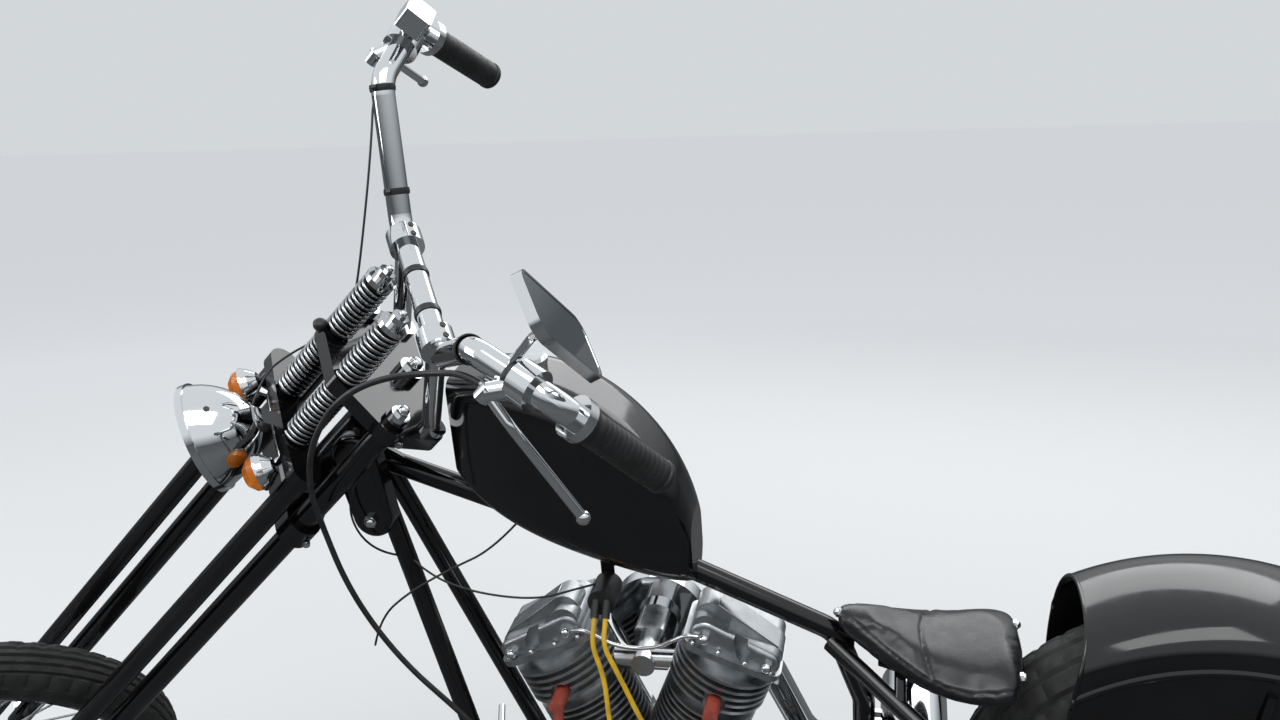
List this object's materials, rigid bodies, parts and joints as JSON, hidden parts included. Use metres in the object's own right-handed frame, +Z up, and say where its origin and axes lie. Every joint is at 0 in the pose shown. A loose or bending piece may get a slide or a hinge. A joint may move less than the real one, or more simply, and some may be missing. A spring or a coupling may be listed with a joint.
{
  "type": "chopper motorcycle",
  "caption": "Long chopper motorcycle with a spring fork, tall fuel tank, solo leather seat and wide rear fender, leaning on its side stand",
  "frame": {"origin": "middle of the parked motorcycle's bounding box, on the ground", "axes": "+X forward along the rear wheel's rolling direction, +Y to the rider's left, +Z up from the ground; the motorcycle leans to +Y on its side stand"},
  "size_m": [2.6664, 0.908, 1.4977],
  "materials": {
    "amber_lens": "moulded amber lens",
    "black_leather": "smooth grain, worn to a sheen",
    "cable_black": "ribbed cable sheath",
    "cast_aluminium": "sand-cast, lightly oxidised",
    "chrome": "polished chrome plate",
    "dark_steel": "oiled steel",
    "gloss_black_paint": "high gloss black enamel",
    "grip_rubber": "moulded rubber",
    "lamp_glass": "clear fluted glass",
    "mirror_glass": "silvered glass",
    "red_lens": "moulded red lens",
    "red_rubber": "moulded plug boot",
    "spring_steel": "bright coiled wire",
    "tyre_rubber": "moulded rubber",
    "yellow_lead": "insulated high-tension lead"
  },
  "bodies": {
    "rear_wheel": {"rear_tyre": "tyre_rubber", "rear_wheel": "chrome", "rear_sprocket": "dark_steel", "rear_disc": "dark_steel"},
    "front_wheel": {"front_tyre": "tyre_rubber", "front_wheel": "chrome"},
    "frame": {"rear_axle": "chrome", "coil_cover": "gloss_black_paint", "fuel_tank": "gloss_black_paint", "fuel_cap": "chrome", "seat": "black_leather", "exhausts": "chrome", "crankcase": "cast_aluminium", "barrels": "cast_aluminium", "heads": "cast_aluminium", "rocker_boxes": "cast_aluminium", "plug_boots": "red_rubber", "cam_cover": "chrome", "carburettor": "cast_aluminium", "air_cleaner": "chrome", "ignition_coil": "grip_rubber", "plug_leads": "yellow_lead", "gearbox": "cast_aluminium", "primary_case": "cast_aluminium", "drive_chain": "dark_steel", "rear_fender": "gloss_black_paint", "tail_lens": "red_lens", "tail_lamp": "chrome", "rear_caliper": "cast_aluminium", "oil_tank": "chrome", "foot_controls": "chrome", "pegs": "grip_rubber", "frame": "gloss_black_paint"},
    "fork": {"rear_legs": "gloss_black_paint", "front_legs": "gloss_black_paint", "springs": "spring_steel", "fork_nuts": "chrome", "fork_rockers": "chrome", "front_axle": "chrome", "grips": "grip_rubber", "handlebar": "chrome", "hand_controls": "chrome", "mirror": "gloss_black_paint", "mirror_glass": "mirror_glass", "headlight": "chrome", "headlight_glass": "lamp_glass", "lamp_bracket": "chrome", "signal_lenses": "amber_lens", "clutch_cable": "cable_black"},
    "side_stand": {"side_stand": "gloss_black_paint"}
  },
  "joints": [
    {"name": "steering", "type": "hinge", "parent": "frame", "child": "fork", "pos_m": [0.25836, -0.07369, 0.88794], "axis": [-0.7148, 0.1206, 0.6889], "range_deg": [-80, 0], "deforming": ["clutch_cable"]},
    {"name": "front_wheel_spin", "type": "hinge", "parent": "fork", "child": "front_wheel", "pos_m": [1.02311, -0.08563, 0.28579], "axis": [-0.4504, 0.6741, -0.5854], "continuous": true},
    {"name": "rear_wheel_spin", "type": "hinge", "parent": "frame", "child": "rear_wheel", "pos_m": [-0.91839, -0.17405, 0.32651], "axis": [-0.0012, 0.9848, -0.1736], "continuous": true},
    {"name": "side_stand_pivot", "type": "hinge", "parent": "frame", "child": "side_stand", "pos_m": [-0.08496, -0.04669, 0.08731], "axis": [0.0059, 0.453, 0.8915], "range_deg": [0, 95]}
  ]
}
